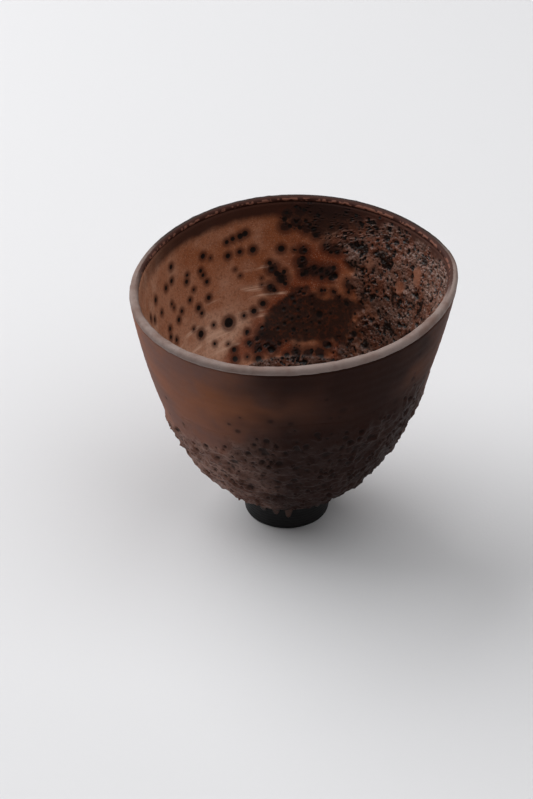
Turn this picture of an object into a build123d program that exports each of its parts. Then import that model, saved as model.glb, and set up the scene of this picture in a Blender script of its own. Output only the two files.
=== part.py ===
from build123d import *
import os
from math import cos, exp, pi, radians, sin

# A thrown stoneware cup without handles, on a small turned foot ring.
# Its smooth base glaze lies inside and outside, and a thick crater glaze
# crusts the lower outside and one side of the inside.
# Millimetres, +Z up. The origin is the middle of the cup's box, on the
# surface that the foot stands on. +X is the side with the pulled corner.

# Overall sizes
cup_height = 95.1
rim_radius = 55.4  # mean outside radius of the lip
lip_wall = 3.2
lip_rounding = 1.3

# Outside curve of the thrown wall, from the foot up to the lip
underside_radius = 15.5
belly_pull = 7.6  # how far the curve keeps its first direction
belly_angle = 64.0  # degrees above level, at the foot
lip_pull = 78.0  # how far the curve keeps its last direction
lip_flare = 9.3  # degrees outward from upright, at the lip

# Inside curve of the thrown wall
floor_thickness = 5.4
well_radius = 5.0  # flat middle of the floor
well_pull = 22.0  # how far the inside curve leaves the well level
inside_pull = 53.5
inside_flare = 9.9

# The hand-thrown rim is out of round, and stands off centre on its foot
lean_x = 1.9
lean_y = 0.8
oval_swell = 1.9
oval_angle = 39.0
lobe_swell = 0.9
lobe_angle = -16.0
corner_swell = 0.8
corner_angle = 15.0
corner_spread = 12.0  # degrees to each side
flat_depth = 1.7
flat_angle = -25.0
flat_spread = 25.0
round_growth = 1.5  # how late the unevenness comes in, going up

# Where the foot's axis stands in the cup's box
foot_x = -2.4
foot_y = -1.3

# Foot ring, luted under the bowl
foot_height = 9.4
foot_base_radius = 14.9
foot_bore_radius = 9.6
foot_edge_rounding = 0.7

# Base glaze
glaze_thickness = 0.5
bare_lip_outside = 2.4  # bare height of the lip, outside
bare_lip_inside = 1.6
bead_thickness = 0.9  # bead in which the glaze ends over the foot
bead_rounding = 0.4
bead_reach = 0.3  # share of the wall's length that the bead's body is cut from

# Drips of glaze that hang from the bead over the foot, front ones first
drip_angles = (-88, -104, -121, -47, 38, 150)
drip_length = 3.0
drip_length_shares = (1.0, 0.6, 0.45, 0.4, 0.5, 0.6)
drip_radius = 0.8

# Crater glaze on the outside, from a bare hem up to a wavy edge
crust_thickness = 1.1
crust_hem = 2.8  # bare height between the foot and the crust
crust_edge_height = 57.0
crust_edge_rise = 13.0  # how much higher the edge runs at the front right
crust_edge_angle = -60.0
crust_edge_wave = 1.5
crust_edge_waves = 7
crust_edge_start = 95  # degrees round, where the edge's points begin
crust_edge_step = 10
crust_reach = 0.95  # share of the wall's length that the crust's body is cut from
crust_lump = 0.25  # boiled lumps, in rows round the wall
crust_lumps_round = 9
crust_lump_twist = 3
crust_lump_height = 19.0

# Crater glaze on the inside, from the floor up to an edge that climbs on the right
inner_crust_thickness = 1.3
inner_crust_lump = 0.25
inner_edge_angles = (50, 68, 84, 100, 118, 145, 175, 205, 235, 265, 300, 330, 355, 385)
inner_edge_height_shares = (0.93, 0.84, 0.66, 0.59, 0.47, 0.36, 0.33, 0.37, 0.45, 0.6, 0.84, 0.92, 0.93, 0.92)

# The largest burst pits of the crusts, on a winding line up each wall
pit_turn = 137.5  # degrees from each pit to the next
pit_spacing_power = 0.62  # brings the pits closer together as the wall narrows
pit_radii = (2.2, 1.7, 2.6, 1.9)
pit_depth_share = 0.36  # of a pit's radius
pit_margin = 5.0  # height between the pits and the crust's edge
outer_pits = 120
outer_pit_start = 0.1  # shares of the wall's length between which the pits lie
outer_pit_reach = 0.7
inner_pits = 150
inner_pit_start = 0.065
inner_pit_reach = 0.9

# Sampling of the curved walls
points_round = 36
wall_steps = 9
bead_steps = 4
crust_steps = 12
halvings = 20
edge_reach = 1.4  # how much wider than the wall an edge's cutting cone is

outside_curve = Edge.make_bezier(
    (underside_radius, 0, foot_height),
    (
        underside_radius + belly_pull * cos(radians(belly_angle)),
        0,
        foot_height + belly_pull * sin(radians(belly_angle)),
    ),
    (
        rim_radius - lip_pull * sin(radians(lip_flare)),
        0,
        cup_height - lip_pull * cos(radians(lip_flare)),
    ),
    (rim_radius, 0, cup_height),
)

inside_radius = rim_radius - lip_wall
floor_height = foot_height + floor_thickness
inside_curve = Edge.make_bezier(
    (well_radius, 0, floor_height),
    (well_radius + well_pull, 0, floor_height),
    (
        inside_radius - inside_pull * sin(radians(inside_flare)),
        0,
        cup_height - inside_pull * cos(radians(inside_flare)),
    ),
    (inside_radius, 0, cup_height),
)


def out_of_round(angle):
    """How far the lip stands out from a circle at this angle, in degrees."""
    from_corner = (angle - corner_angle + 180) % 360 - 180
    from_flat = (angle - flat_angle + 180) % 360 - 180
    oval = oval_swell * cos(2 * radians(angle - oval_angle))
    lobes = lobe_swell * cos(3 * radians(angle - lobe_angle))
    corner = corner_swell * exp(-((from_corner / corner_spread) ** 2))
    flat = flat_depth * exp(-((from_flat / flat_spread) ** 2))
    return oval + lobes + corner - flat


def wall_place(radius, height, angle):
    """Point of a wall: a circle at the foot, out of round and leaning at the lip."""
    rise = (height - foot_height) / (cup_height - foot_height)
    out = radius + abs(rise) ** round_growth * out_of_round(angle)
    x = foot_x + lean_x * rise + out * cos(radians(angle))
    y = foot_y + lean_y * rise + out * sin(radians(angle))
    return Vector(x, y, height)


def no_lumps(angle, height):
    return 0


def outer_lumps(angle, height):
    rows = 2 * pi * height / crust_lump_height
    across = sin(radians(crust_lumps_round * angle) + rows / 2)
    along = cos(rows - radians(crust_lump_twist * angle))
    return crust_lump * across * along


def inner_lumps(angle, height):
    return -inner_crust_lump / crust_lump * outer_lumps(angle, height)


def filled(curve, offset=0, lift=0, steps=wall_steps, last=1.0, lumps=no_lumps):
    """Solid inside a wall curve, moved sideways by offset and up by lift."""
    sections = []
    for step in range(steps + 1):
        point = curve @ (last * step / steps)
        angles = [360 * turn / points_round for turn in range(points_round)]
        height = point.Z + lift
        places = [wall_place(point.X + offset + lumps(a, height), height, a) for a in angles]
        sections.append(Wire([Edge.make_spline(places, periodic=True)]))
    return Solid.make_loft(sections)


def slab(low, high):
    """Everything between two heights."""
    width = 4 * rim_radius
    return Pos(0, 0, low) * Box(width, width, high - low, align=(Align.CENTER, Align.CENTER, Align.MIN))


def radius_at(curve, height):
    """Radius of a wall curve at a height, by halving."""
    low, high = 0.0, 1.0
    for _ in range(halvings):
        middle = (low + high) / 2
        if (curve @ middle).Z < height:
            low = middle
        else:
            high = middle
    return (curve @ low).X


def below_edge(curve, edge):
    """Everything below a wavy edge that runs round a wall, from (angle, height) pairs."""
    middle = sum(height for angle, height in edge) / len(edge)
    top = Vector(foot_x, foot_y, middle)
    places = [wall_place(radius_at(curve, height), height, angle) for angle, height in edge]
    ring = Wire([Edge.make_spline([top + (place - top) * edge_reach for place in places], periodic=True)])
    return Solid.make_loft([Vertex(*top), ring, Vertex(foot_x, foot_y, -cup_height)], ruled=True)


def crust_edge(angle):
    """Height of the outer crust's upper edge."""
    rise = crust_edge_rise * cos(radians(angle - crust_edge_angle))
    wave = crust_edge_wave * sin(crust_edge_waves * radians(angle))
    return crust_edge_height + rise + wave


def inner_edge(angle):
    """Height of the inner crust's edge, straight between its points."""
    first = inner_edge_angles[0]
    turned = (angle - first) % 360 + first
    ends = zip(inner_edge_angles, inner_edge_angles[1:] + (first + 360,))
    shares = inner_edge_height_shares + inner_edge_height_shares[:1]
    for number, (low, high) in enumerate(ends):
        if low <= turned <= high:
            part = (turned - low) / (high - low)
            return cup_height * (shares[number] * (1 - part) + shares[number + 1] * part)


def pits(curve, count, start, reach, edge, offset, lift, side):
    """Balls that cut burst pits into a crust; side is 1 outside and -1 inside."""
    balls = []
    for number in range(count):
        share = start + (reach - start) * ((number + 1) / count) ** pit_spacing_power
        angle = number * pit_turn
        radius = pit_radii[number % len(pit_radii)]
        point, along = curve @ share, curve % share
        out = side * radius * (1 - pit_depth_share)
        if point.Z < edge(angle) - pit_margin:
            place = wall_place(point.X + offset + out * along.Z, point.Z + lift - out * along.X, angle)
            balls.append(Pos(place) * Sphere(radius))
    return balls


# Filled walls: smooth glaze, the clay under it, and the crusts over it
outside = filled(outside_curve)
outside_clay = filled(outside_curve, -glaze_thickness)
outside_crust = filled(outside_curve, crust_thickness, 0, crust_steps, crust_reach, outer_lumps)
inside = filled(inside_curve)
inside_clay = filled(inside_curve, glaze_thickness, -glaze_thickness)
inside_crust = filled(
    inside_curve, -inner_crust_thickness, inner_crust_thickness, crust_steps, lumps=inner_lumps
)

# Foot ring: a tapered band with an open bore
foot_profile = Polyline(
    (foot_bore_radius, 0, 0),
    (foot_base_radius, 0, 0),
    (underside_radius, 0, foot_height),
    (foot_bore_radius, 0, foot_height),
    close=True,
)
foot_ring = Solid.revolve(Face(Wire(foot_profile.edges())), 360, Axis.Z)
base_edges = foot_ring.edges().group_by(Axis.Z)[0]
foot_ring = Pos(foot_x, foot_y, 0) * foot_ring.fillet(foot_edge_rounding, base_edges)

# Outside coats: crater glaze from its hem up to a wavy edge, smooth glaze above
lip_line = cup_height - bare_lip_outside
hem_height = foot_height + crust_hem
crust_edge_angles = range(crust_edge_start, crust_edge_start + 360, crust_edge_step)
crust_edge_places = [(angle, crust_edge(angle)) for angle in crust_edge_angles]
crust_place = below_edge(outside_curve, crust_edge_places)
outer_crust = (outside_crust & crust_place & slab(hem_height, lip_line)) - outside_clay
outer_crust -= pits(
    outside_curve,
    outer_pits,
    outer_pit_start,
    outer_pit_reach,
    crust_edge,
    crust_thickness,
    0,
    1,
)
outer_glaze = (outside & slab(hem_height, lip_line)) - outside_clay - crust_place

# Bead of bare glaze where the coats end, with drips that hang over the foot
outside_bead = filled(outside_curve, bead_thickness, steps=bead_steps, last=bead_reach)
glaze_bead = (outside_bead & slab(foot_height, hem_height)) - outside_clay
bead_edge = glaze_bead.edges().group_by(Axis.Z)[0].sort_by(SortBy.LENGTH)[-1]
glaze_bead = glaze_bead.fillet(bead_rounding, [bead_edge])
foot_top = Pos(foot_x, foot_y, foot_height)
for angle, share in zip(drip_angles, drip_length_shares):
    place = foot_top * Rot(0, 0, angle) * Pos(underside_radius, 0, -drip_length * share)
    neck = Cylinder(drip_radius, drip_length * share + drip_radius, align=(Align.CENTER, Align.CENTER, Align.MIN))
    glaze_bead += place * (neck + Sphere(drip_radius))
glaze_bead = glaze_bead - foot_ring - outside_clay

# Inside coats: crater glaze from the floor up to its edge, smooth glaze above
inner_lip_line = cup_height - bare_lip_inside
inner_edge_places = [
    (angle, share * cup_height) for angle, share in zip(inner_edge_angles, inner_edge_height_shares)
]
inner_crust_place = below_edge(inside_curve, inner_edge_places)
glazed_hollow = inside_clay & slab(foot_height, inner_lip_line)
inner_glaze = glazed_hollow - inside - inner_crust_place
inner_crust = (inside_clay & inner_crust_place) - inside_crust
inner_crust -= pits(
    inside_curve,
    inner_pits,
    inner_pit_start,
    inner_pit_reach,
    inner_edge,
    -inner_crust_thickness,
    inner_crust_thickness,
    -1,
)

# Thrown wall with its bare lip, rounded on both sides
bowl_body = (outside_clay & slab(foot_height, lip_line)) + (outside & slab(lip_line, cup_height))
bowl_body = bowl_body - (glazed_hollow + (inside & slab(inner_lip_line, cup_height)))
bowl_body = bowl_body.fillet(lip_rounding, bowl_body.edges().group_by(Axis.Z)[-1])

nodes = {
    "bowl_body": bowl_body,
    "foot_ring": foot_ring,
    "outer_glaze": outer_glaze,
    "outer_crust": outer_crust,
    "glaze_bead": glaze_bead,
    "inner_glaze": inner_glaze,
    "inner_crust": inner_crust,
}
os.makedirs("parts", exist_ok=True)
for name, shape in nodes.items():
    export_step(shape, f"parts/{name}.step")
    print(name, len(shape.solids()), "solid", round(shape.volume), "mm3")
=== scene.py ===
from math import radians

import bpy
import numpy as np
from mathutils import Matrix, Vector


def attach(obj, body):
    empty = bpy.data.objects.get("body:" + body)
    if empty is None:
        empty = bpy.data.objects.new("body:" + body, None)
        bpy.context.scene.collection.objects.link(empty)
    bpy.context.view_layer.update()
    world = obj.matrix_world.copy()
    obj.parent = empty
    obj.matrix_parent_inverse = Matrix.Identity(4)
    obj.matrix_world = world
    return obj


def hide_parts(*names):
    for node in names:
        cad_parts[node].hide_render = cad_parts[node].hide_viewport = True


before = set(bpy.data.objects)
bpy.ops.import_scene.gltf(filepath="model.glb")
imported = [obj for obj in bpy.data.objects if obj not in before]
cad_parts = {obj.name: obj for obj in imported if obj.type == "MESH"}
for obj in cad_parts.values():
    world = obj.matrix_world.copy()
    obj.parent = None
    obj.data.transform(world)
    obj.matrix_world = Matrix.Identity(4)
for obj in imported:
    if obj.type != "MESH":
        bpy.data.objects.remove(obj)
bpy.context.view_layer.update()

mm = 0.001

# The thrown form, in millimetres, as the solids have it
form = {
    "height": 95.1, "rimRadius": 55.4, "lipWall": 3.2, "lipRounding": 1.3,
    "undersideRadius": 15.5, "bellyPull": 7.6, "bellyAngle": 64.0, "lipPull": 78.0, "lipFlare": 9.3,
    "floorThickness": 5.4, "wellRadius": 5.0, "wellPull": 22.0, "insidePull": 53.5, "insideFlare": 9.9,
    "leanX": 1.9, "leanY": 0.8, "swell": 1.5,
    "oval": 1.9, "ovalAngle": 39.0, "lobes": 0.9, "lobeAngle": -16.0,
    "corner": 0.8, "cornerAngle": 15.0, "cornerSpread": 12.0,
    "flat": 1.7, "flatAngle": -25.0, "flatSpread": 25.0,
    "footX": -2.4, "footY": -1.3, "footHeight": 9.4, "footBase": 14.9, "footBore": 9.6,
    "lipLine": 92.7, "innerLipLine": 93.5, "crustHem": 12.2,
}

# How the photograph was taken
view = {"place": (-9.6, -821.6, 630.5), "pitch": 35.5, "focal": 2900.0, "wide": 533.0, "tall": 799.0,
        "sensor": 36.0, "pixelSize": 0.335}  # mm, and mm to a pixel on the back wall


def evenCurve(corners):
    # a four-point curve as radius and height at even steps of length, with its outward normal
    t = np.linspace(0, 1, 4001)[:, None]
    a, b, c, d = [np.array(p, float) for p in corners]
    path = (1 - t) ** 3 * a + 3 * (1 - t) ** 2 * t * b + 3 * (1 - t) * t ** 2 * c + t ** 3 * d
    run = np.concatenate([[0], np.cumsum(np.linalg.norm(np.diff(path, axis=0), axis=1))])
    steps = np.linspace(0, run[-1], 1001)
    radius, height = np.interp(steps, run, path[:, 0]), np.interp(steps, run, path[:, 1])
    along = np.stack([np.gradient(radius), np.gradient(height)], 1)
    along /= np.linalg.norm(along, axis=1)[:, None]
    return {"share": steps / run[-1], "radius": radius, "height": height, "length": run[-1],
            "outR": along[:, 1], "outZ": -along[:, 0]}


def wallCurves():
    f = form
    rise, flare = radians(f["bellyAngle"]), radians(f["lipFlare"])
    outside = evenCurve([
        (f["undersideRadius"], f["footHeight"]),
        (f["undersideRadius"] + f["bellyPull"] * np.cos(rise),
         f["footHeight"] + f["bellyPull"] * np.sin(rise)),
        (f["rimRadius"] - f["lipPull"] * np.sin(flare), f["height"] - f["lipPull"] * np.cos(flare)),
        (f["rimRadius"], f["height"])])
    well, flare = f["footHeight"] + f["floorThickness"], radians(f["insideFlare"])
    rim = f["rimRadius"] - f["lipWall"]
    inside = evenCurve([
        (f["wellRadius"], well), (f["wellRadius"] + f["wellPull"], well),
        (rim - f["insidePull"] * np.sin(flare), f["height"] - f["insidePull"] * np.cos(flare)),
        (rim, f["height"])])
    return outside, inside


outsideCurve, insideCurve = wallCurves()


def outOfRound(angle):
    f = form
    return (f["oval"] * np.cos(2 * np.radians(angle - f["ovalAngle"]))
            + f["lobes"] * np.cos(3 * np.radians(angle - f["lobeAngle"]))
            + f["corner"] * bell(angle, f["cornerAngle"], f["cornerSpread"])
            - f["flat"] * bell(angle, f["flatAngle"], f["flatSpread"]))


def place(radius, height, angle):
    # a circle at the foot, out of round and leaning at the lip
    rise = (height - form["footHeight"]) / (form["height"] - form["footHeight"])
    out = radius + np.abs(rise) ** form["swell"] * outOfRound(angle)
    x = form["footX"] + form["leanX"] * rise + out * np.cos(np.radians(angle))
    y = form["footY"] + form["leanY"] * rise + out * np.sin(np.radians(angle))
    return np.stack(np.broadcast_arrays(x, y, height), -1)


def skin(curve, share, angle, lift):
    # points of a wall, lifted along its outward normal
    radius, height, outR, outZ = (np.interp(share, curve["share"], curve[part])
                                  for part in ("radius", "height", "outR", "outZ"))
    return place(radius + lift * outR, height + lift * outZ, angle)


def shareAt(curve, height):
    return np.interp(height, curve["height"], curve["share"])


def bell(angle, middle, spread):
    # 1 at the middle, falling off to both sides round the wall
    return np.exp(-(((angle - middle + 180) % 360 - 180) / spread) ** 2)


def smooth(value):
    value = np.clip(value, 0, 1)
    return value * value * (3 - 2 * value)


def cloudy(points, cell, seed, octaves=1):
    # soft noise from -1 to 1 in space, with lumps about one cell wide
    total, weight = 0, 1
    for octave in range(octaves):
        table = np.random.default_rng(seed + octave).uniform(-1, 1, (32, 32, 32)).astype(np.float32)
        at = points / (cell / 2 ** octave) + 7.3 * octave
        low = np.floor(at).astype(int)
        part = (at - low).astype(np.float32)
        part = part * part * (3 - 2 * part)
        value = 0
        for i in (0, 1):
            for j in (0, 1):
                for k in (0, 1):
                    corner = table[(low[..., 0] + i) % 32, (low[..., 1] + j) % 32, (low[..., 2] + k) % 32]
                    u, v, w = (part[..., n] if far else 1 - part[..., n] for n, far in enumerate((i, j, k)))
                    value = value + corner * (u * v) * w
        total, weight = total + value * weight, weight / 2
    return total


class Canvas:
    # a fine grid round one side of the wall, on which marks and relief are worked out in millimetres
    def __init__(self, curve, around, along):
        self.curve, self.around, self.along = curve, around, along
        self.angle = np.linspace(-180, 180, around, endpoint=False)[None, :]
        self.share = np.linspace(0, 1, along)[:, None]
        self.points = skin(curve, self.share, self.angle, 0).astype(np.float32)
        self.height = self.points[..., 2]
        self.step = curve["length"] / (along - 1)

    def blank(self):
        return np.zeros((self.along, self.around), np.float32)

    def dab(self, share, angle, reach, mark):
        # calls mark(rows, columns, distance in mm) over the window round one place
        row, column = share * (self.along - 1), (angle + 180) / 360 * self.around
        radius = max(np.interp(share, self.curve["share"], self.curve["radius"]), 2)
        high, wide = int(reach / self.step) + 2, int(reach / radius / 2 / np.pi * self.around) + 2
        rows = np.arange(max(0, int(row) - high), min(self.along, int(row) + high + 1))
        columns = np.arange(int(column) - wide, int(column) + wide + 1) % self.around
        centre = skin(self.curve, share, angle, 0)
        window = np.ix_(rows, columns)
        mark(window, np.linalg.norm(self.points[window] - centre, axis=-1))

    def read(self, field, share, angle):
        row = np.clip(share * (self.along - 1), 0, self.along - 1.001)
        column = (angle + 180) / 360 * self.around
        row, column = np.broadcast_arrays(row, column)
        i, j = np.floor(row).astype(int), np.floor(column).astype(int)
        u, v = row - i, column - j
        j, k = j % self.around, (j + 1) % self.around
        return ((field[i, j] * (1 - v) + field[i, k] * v) * (1 - u)
                + (field[i + 1, j] * (1 - v) + field[i + 1, k] * v) * u)


def scatter(canvas, random, count, density):
    # places spread evenly over the wall, kept where density allows
    shares, angles = random.uniform(0, 1, count), random.uniform(-180, 180, count)
    radius = np.interp(shares, canvas.curve["share"], canvas.curve["radius"])
    keep = random.uniform(0, 1, count) * canvas.curve["radius"].max() < radius
    shares, angles = shares[keep], angles[keep]
    keep = random.uniform(0, 1, len(shares)) < canvas.read(density, shares, angles)
    return list(zip(shares[keep], angles[keep]))


def crater(canvas, relief, hole, share, angle, radius, depth, rim):
    # a burst bubble: a pit with a raised edge
    def mark(window, far):
        ring = rim * np.exp(-((far / radius - 1.05) / 0.34) ** 2)
        pit = smooth((1 - far / radius) * 1.35)
        sunk = np.minimum(relief[window], relief[window] * (1 - pit) - depth * pit)
        relief[window] = np.where(pit > 0, sunk, relief[window])
        relief[window] = np.maximum(relief[window], relief[window] + ring * (1 - hole[window]))
        hole[window] = np.maximum(hole[window], pit)
    canvas.dab(share, angle, radius * 1.9, mark)


def fleck(canvas, spot, halo, share, angle, radius, spread):
    # a melted iron spot with a rusty margin
    def mark(window, far):
        spot[window] = np.maximum(spot[window], smooth((radius * 1.15 - far) / (radius * 0.75)))
        halo[window] = np.maximum(halo[window], smooth((radius + spread - far) / spread))
    canvas.dab(share, angle, radius + spread, mark)


# Soft lumps and the largest burst pits, where the solids have them
bursts = {
    "turn": 137.5, "power": 0.62, "radii": (2.2, 1.7, 2.6, 1.9), "margin": 5.0,
    "outer": {"count": 120, "start": 0.1, "reach": 0.7},
    "inner": {"count": 150, "start": 0.065, "reach": 0.9},
    "lump": 0.25, "lumpsRound": 9, "lumpTwist": 3, "lumpHeight": 19.0,
}


def softLumps(angle, height):
    rows = 2 * np.pi * height / bursts["lumpHeight"]
    across = np.sin(np.radians(bursts["lumpsRound"] * angle) + rows / 2)
    return bursts["lump"] * across * np.cos(rows - np.radians(bursts["lumpTwist"] * angle))


def pitPlaces(side):
    # share of the wall's length, angle and radius of each pit
    curve, edge = (insideCurve, innerEdgeHeight) if side == "inner" else (outsideCurve, outerEdgeHeight)
    row = bursts[side]
    for number in range(row["count"]):
        along = ((number + 1) / row["count"]) ** bursts["power"]
        share = row["start"] + (row["reach"] - row["start"]) * along
        angle = (number * bursts["turn"] + 180) % 360 - 180
        if np.interp(share, curve["share"], curve["height"]) < edge(angle) - bursts["margin"]:
            yield share, angle, bursts["radii"][number % 4]


def seen(points):
    # where points of the object stand in the photograph, in pixels
    tilt = radians(view["pitch"])
    gap = points - np.array(view["place"])
    depth = gap[..., 1] * np.cos(tilt) - gap[..., 2] * np.sin(tilt)
    up = gap[..., 1] * np.sin(tilt) + gap[..., 2] * np.cos(tilt)
    return (view["wide"] / 2 + view["focal"] * gap[..., 0] / depth,
            view["tall"] / 2 - view["focal"] * up / depth)


def backWallPlaces(canvas, marks):
    # share, angle and size in mm of each mark that the photograph shows on the back of the inside wall
    rows, columns = slice(0, None, 2), slice(canvas.around // 2, None, 2)
    x, y = seen(canvas.points[rows, columns])
    found = []
    for px, py, size in marks:
        row, column = np.unravel_index(np.argmin((x - px) ** 2 + (y - py) ** 2), x.shape)
        found.append((canvas.share[rows][row, 0], canvas.angle[0, columns][column], size * view["pixelSize"]))
    return found


# Inside marks, where the photograph shows them: x, y and radius in its pixels
insideMarks = {
    "seed": 11,
    "burstFrom": 1.675,  # mm, larger spots have burst
    "spots": [
        (227, 242, 3.4), (233, 239, 3.6), (240, 236, 4.6), (245, 234, 4.6), (203, 256, 4.2), (210, 258, 1.8),
        (228, 256, 4.0), (240, 252, 3.4), (253, 250, 4.6), (281, 249, 5.0), (171, 267, 3.8), (172, 281, 3.4),
        (166, 288, 3.6), (187, 275, 2.6), (187, 282, 3.4), (201, 271, 3.2), (203, 275, 3.0), (207, 282, 3.2),
        (194, 290, 2.2), (156, 300, 3.8), (162, 313, 3.0), (151, 318, 3.4), (155, 320, 3.4), (190, 300, 2.8),
        (209, 298, 3.6), (172, 304, 2.4), (174, 308, 2.2), (199, 308, 4.0), (202, 313, 3.0), (182, 311, 3.0),
        (179, 320, 3.6), (170, 329, 3.4), (171, 337, 3.4), (177, 340, 3.2), (229, 323, 7.6), (201, 334, 5.6),
        (214, 325, 2.4), (215, 344, 2.4), (194, 329, 2.2), (234, 350, 3.8), (235, 359, 4.4), (263, 304, 4.4),
        (254, 311, 4.2), (244, 316, 2.6), (235, 270, 1.2), (240, 276, 1.5), (262, 278, 1.2), (262, 285, 1.4),
        (258, 359, 5.0), (228, 344, 1.6), (247, 357, 2.0), (255, 352, 2.0),
        (270, 263, 3.6), (272, 269, 3.6), (277, 274, 4.6), (281, 278, 4.8), (284, 272, 3.4), (285, 284, 3.2),
        (270, 287, 3.0), (274, 290, 3.4), (282, 281, 4.0)],
    "blobs": [
        (285, 219, 5.0), (290, 226, 4.4), (296, 222, 4.0), (286, 213, 3.4), (300, 228, 4.6), (306, 221, 3.8),
        (314, 229, 5.6), (316, 235, 5.0), (310, 224, 3.6), (318, 215, 4.4), (304, 210, 3.6), (331, 227, 3.6),
        (296, 207, 3.0), (327, 246, 4.2), (338, 246, 4.8), (331, 252, 4.0), (337, 252, 3.8),
        (305, 250, 4.4), (303, 258, 4.6), (301, 266, 4.6), (306, 272, 5.0), (314, 268, 4.6), (321, 270, 5.2),
        (328, 273, 5.2), (334, 268, 4.8), (331, 278, 4.6), (322, 278, 4.0), (302, 275, 4.2), (295, 250, 2.4),
        (345, 235, 4.2), (341, 228, 3.6), (352, 220, 4.0), (356, 215, 4.0), (346, 212, 3.0), (357, 245, 4.2),
        (363, 247, 4.0), (349, 260, 4.0), (356, 262, 3.8), (349, 282, 4.4), (354, 286, 4.2), (349, 292, 3.6),
        (368, 230, 3.2), (372, 222, 3.4), (380, 218, 3.0), (322, 290, 3.6), (334, 291, 3.8), (300, 291, 3.2),
        (312, 296, 3.0), (340, 297, 3.2)],
    "edgeDots": [
        (262, 327, 3.2), (247, 332, 3.4), (257, 338, 3.6), (249, 343, 4.2), (259, 349, 4.0), (265, 345, 3.6),
        (272, 350, 4.2), (279, 343, 3.6), (287, 355, 4.4), (296, 351, 3.6), (304, 357, 4.2), (312, 350, 3.6),
        (322, 356, 4.0), (330, 345, 3.6), (343, 352, 3.8), (351, 345, 3.6), (339, 338, 3.2), (272, 360, 4.0)],
    "smoothPatches": [(419, 273, 4.2), (419, 280, 4.0), (402, 287, 5.0), (371, 262, 4.0)],
    "kinds": {"spots": (0.95, 1.7), "blobs": (0.75, 2.2), "edgeDots": (0.9, 1.6),
              "patches": (0.85, 2.2)},  # size, and mm of soft margin
    # pale throwing lines: height in mm, and the angles between which each shows
    "lines": [
        (45.7, 118, 140), (47.6, 124, 142), (50.4, 121, 150), (51.9, 115, 140), (53.4, 92, 106),
        (55.2, 103, 157), (57.0, 124, 150), (60.3, 92, 132), (62.6, 103, 133), (63.9, 99, 120),
        (70.3, 97, 110)],
    # dark glaze that has run together in small patches
    "patches": [
        (287, 214, 9), (296, 222, 10), (307, 228, 9), (317, 233, 9), (301, 211, 9), (318, 214, 9),
        (331, 216, 9), (303, 251, 7), (302, 262, 9), (305, 271, 9), (314, 270, 10), (323, 272, 10),
        (331, 271, 9), (328, 246, 8), (337, 249, 9), (273, 269, 8), (281, 278, 9), (353, 262, 8),
        (350, 285, 7), (345, 213, 9), (358, 222, 10), (372, 228, 9), (285, 226, 8), (271, 288, 7),
        (344, 227, 8), (312, 204, 9), (356, 240, 7), (320, 222, 8), (262, 334, 8), (272, 346, 9),
        (258, 347, 7), (296, 352, 8), (308, 354, 8), (320, 352, 8), (327, 344, 7)],
    # and in one pool: degrees round the wall, and heights in mm
    "pool": {"left": 112.0, "right": 50.0, "low": 43.5, "high": 62.5, "slope": 0.84},
    # left edge of the boiled glaze on the back wall: heights in mm, and the angle at each
    "boilHeights": (14, 30, 38, 40, 52, 58, 64, 70.5, 77, 86, 94),
    "boilAngles": (180, 150, 120, 66, 63, 61, 62, 65, 70, 74, 79),
    "craterTries": 24600, "blisterTries": 1820, "fleckTries": 620,
    "mmPerDegree": 0.8, "boilTop": 92.6, "flecksTop": 84.0,
}

# Upper edge of the inside crust, by angle, as a height in mm
crustEdge = {
    "angles": (50, 68, 84, 100, 118, 145, 175, 205, 235, 265, 300, 330, 355, 385),
    "shares": (0.93, 0.84, 0.66, 0.59, 0.47, 0.36, 0.33, 0.37, 0.45, 0.6, 0.84, 0.92, 0.93, 0.92),
}


def innerEdgeHeight(angle):
    # smooth closed line through the crust's edge
    around = np.array(crustEdge["angles"] + (crustEdge["angles"][0] + 360,), float)
    tall = np.array(crustEdge["shares"] + (crustEdge["shares"][0],)) * form["height"]
    fine = np.linspace(0, 360, 721)
    line = np.interp((fine - around[0]) % 360 + around[0], around, tall)
    kernel = np.exp(-(np.arange(-30, 31) / 11) ** 2)
    line = np.concatenate([line[-31:-1], line, line[1:31]])
    line = np.convolve(line, kernel / kernel.sum(), "same")[30:-30]
    return np.interp(angle % 360, fine, line)


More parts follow.
